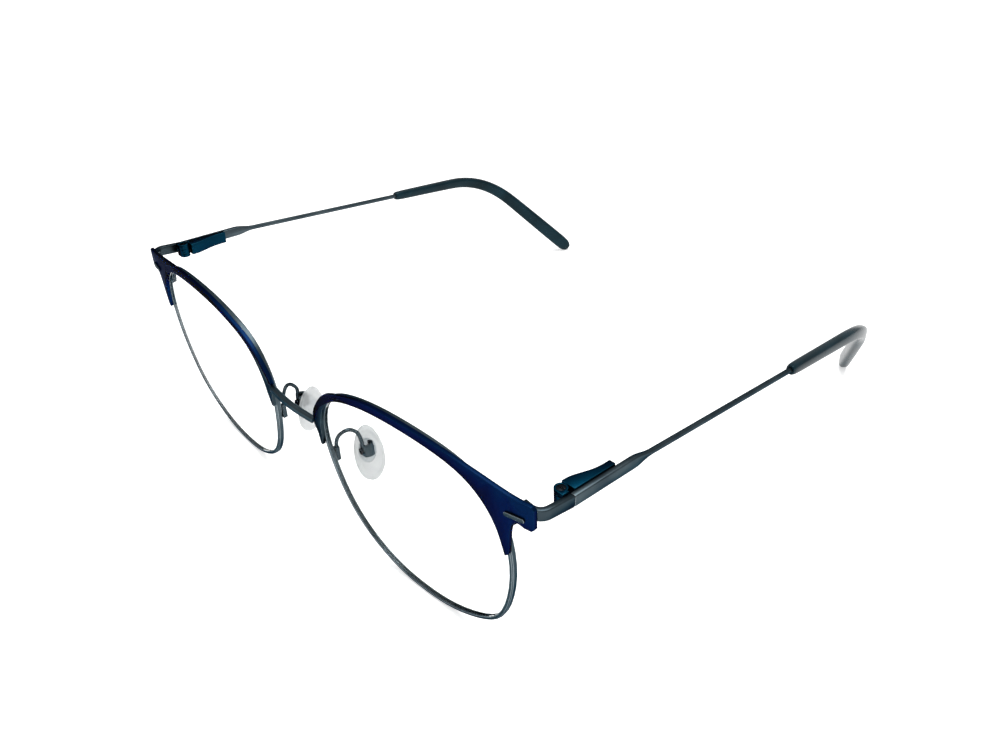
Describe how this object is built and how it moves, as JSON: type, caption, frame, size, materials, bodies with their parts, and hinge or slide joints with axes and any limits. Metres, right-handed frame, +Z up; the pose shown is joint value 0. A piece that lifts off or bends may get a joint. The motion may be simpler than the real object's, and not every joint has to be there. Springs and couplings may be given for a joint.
{
  "type": "eyeglasses",
  "caption": "Metal eyeglasses with thin full rims, dark brow plates, adjustable clear nose pads, slim sprung temples and hooked plastic tips.",
  "frame": {"origin": "on the ground, midway between left and right and midway between the bridge and the backs of the tips", "axes": "+Z up, the front of the glasses faces -Y, the temples run to +Y, +X is the wearer's left"},
  "size_m": [0.1426, 0.1393, 0.0464],
  "materials": {
    "navy_enamel": "semi-gloss dark navy enamel on pressed metal",
    "teal_enamel": "semi-gloss dark teal enamel",
    "gunmetal_metal": "satin gunmetal plating with bright bevels",
    "bare_steel": "bright turned steel",
    "lens_plastic": "clear, coated, almost invisible",
    "pad_core": "clear hard plastic",
    "pad_silicone": "translucent white silicone",
    "tip_acetate": "polished, near black with a navy cast"
  },
  "bodies": {
    "front": {"bridge": "gunmetal_metal", "rim_left": "gunmetal_metal", "rim_right": "gunmetal_metal", "lens_left": "lens_plastic", "lens_right": "lens_plastic", "brow_plate_left": "navy_enamel", "brow_plate_right": "navy_enamel", "brow_bar_left": "gunmetal_metal", "brow_bar_right": "gunmetal_metal", "nose_plate_left": "gunmetal_metal", "nose_plate_right": "gunmetal_metal", "closing_block_left": "gunmetal_metal", "closing_block_right": "gunmetal_metal", "closing_screw_left": "bare_steel", "closing_screw_right": "bare_steel", "end_piece_left": "gunmetal_metal", "end_piece_right": "gunmetal_metal", "hinge_bracket_left": "teal_enamel", "hinge_bracket_right": "teal_enamel", "hinge_screw_left": "bare_steel", "hinge_screw_right": "bare_steel", "pad_arm_left": "gunmetal_metal", "pad_arm_right": "gunmetal_metal", "pad_screw_left": "bare_steel", "pad_screw_right": "bare_steel"},
    "hinge_slide_left": {"hinge_tongue_left": "teal_enamel", "spring_stop_left": "bare_steel", "hinge_spring_left": "bare_steel"},
    "temple_left": {"temple_left": "gunmetal_metal", "temple_tip_left": "tip_acetate", "spring_housing_left": "teal_enamel"},
    "nose_pad_left": {"pad_insert_left": "pad_core", "nose_pad_left": "pad_silicone"},
    "hinge_slide_right": {"hinge_tongue_right": "teal_enamel", "spring_stop_right": "bare_steel", "hinge_spring_right": "bare_steel"},
    "temple_right": {"temple_right": "gunmetal_metal", "temple_tip_right": "tip_acetate", "spring_housing_right": "teal_enamel"},
    "nose_pad_right": {"pad_insert_right": "pad_core", "nose_pad_right": "pad_silicone"}
  },
  "joints": [
    {"name": "fold_left", "type": "hinge", "parent": "front", "child": "hinge_slide_left", "pos_m": [0.06834, -0.05671, 0.04028], "axis": [0, 0, 1], "range_deg": [0, 84]},
    {"name": "spring_left", "type": "slide", "parent": "hinge_slide_left", "child": "temple_left", "axis": [-0.0174, 0.9978, -0.0645], "range_m": [0, 0.0008], "stiffness_N_per_m": 800, "springref_m": -0.0003, "deforming": ["hinge_spring_left"]},
    {"name": "pad_rock_left", "type": "hinge", "parent": "front", "child": "nose_pad_left", "pos_m": [0.01299, -0.05948, 0.0213], "axis": [0.0698, 0.9976, 0], "range_deg": [-8, 8]},
    {"name": "fold_right", "type": "hinge", "parent": "front", "child": "hinge_slide_right", "pos_m": [-0.06834, -0.05671, 0.04028], "axis": [0, 0, -1], "range_deg": [0, 80]},
    {"name": "spring_right", "type": "slide", "parent": "hinge_slide_right", "child": "temple_right", "axis": [0.0174, 0.9978, -0.0645], "range_m": [0, 0.0008], "stiffness_N_per_m": 800, "springref_m": -0.0003, "deforming": ["hinge_spring_right"]},
    {"name": "pad_rock_right", "type": "hinge", "parent": "front", "child": "nose_pad_right", "pos_m": [-0.01299, -0.05948, 0.0213], "axis": [-0.0698, 0.9976, 0], "range_deg": [-8, 8]}
  ]
}
